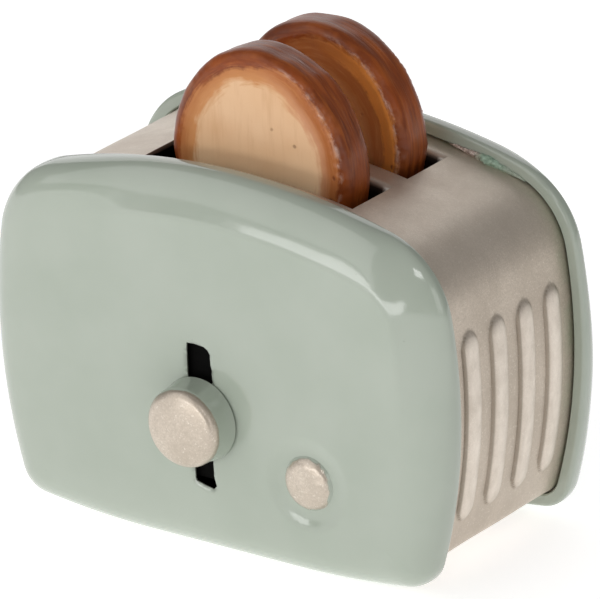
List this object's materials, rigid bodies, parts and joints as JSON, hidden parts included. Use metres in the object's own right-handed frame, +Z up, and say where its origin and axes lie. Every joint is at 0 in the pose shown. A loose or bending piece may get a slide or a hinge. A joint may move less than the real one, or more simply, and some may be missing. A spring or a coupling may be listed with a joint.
{
  "type": "toy toaster",
  "caption": "Miniature toy toaster: pressed enamel covers on a ribbed silver band, a sliding lever and loose slices of toast.",
  "frame": {"origin": "centre of the bounding box at the surface that the two covers stand on", "axes": "+Z up, +X across the front to the right as seen from the front, -Y out of the front face with the lever"},
  "size_m": [0.05, 0.0308, 0.0464],
  "materials": {
    "enamel": "glossy pale green baked enamel with soft orange peel",
    "lacquer": "warm silver metallic lacquer, grainy and slightly cloudy",
    "sheet_steel": "plain rolled steel sheet",
    "guide_steel": "drawn bright steel",
    "rivet_steel": "plain steel with a dull skin",
    "bush_brass": "turned brass",
    "painted_crumb": "painted wood: streaked brown crust and beige crumb under a clear coat"
  },
  "bodies": {
    "housing": {"front_cover": "enamel", "back_cover": "enamel", "body_shell": "lacquer", "base_plate": "sheet_steel", "base_rivets": "rivet_steel", "rod_bracket": "sheet_steel", "guide_rod_left": "guide_steel", "guide_rod_right": "guide_steel"},
    "carriage": {"lever_knob": "enamel", "lever_stem": "sheet_steel", "friction_washer": "guide_steel", "lever_plate": "sheet_steel", "toast_tray": "sheet_steel", "tray_rivets": "rivet_steel", "guide_bushes": "bush_brass"},
    "toast_front": {"toast_front": "painted_crumb"},
    "toast_back": {"toast_back": "painted_crumb"}
  },
  "joints": [
    {"name": "lever_slide", "type": "slide", "parent": "housing", "child": "carriage", "axis": [0, 0, 1], "range_m": [-0.0047, 0.0047]},
    {"name": "toast_front_lift", "type": "slide", "parent": "carriage", "child": "toast_front", "axis": [0, 0, 1], "range_m": [0, 0.024]},
    {"name": "toast_back_lift", "type": "slide", "parent": "carriage", "child": "toast_back", "axis": [0, 0, 1], "range_m": [0, 0.024]}
  ]
}
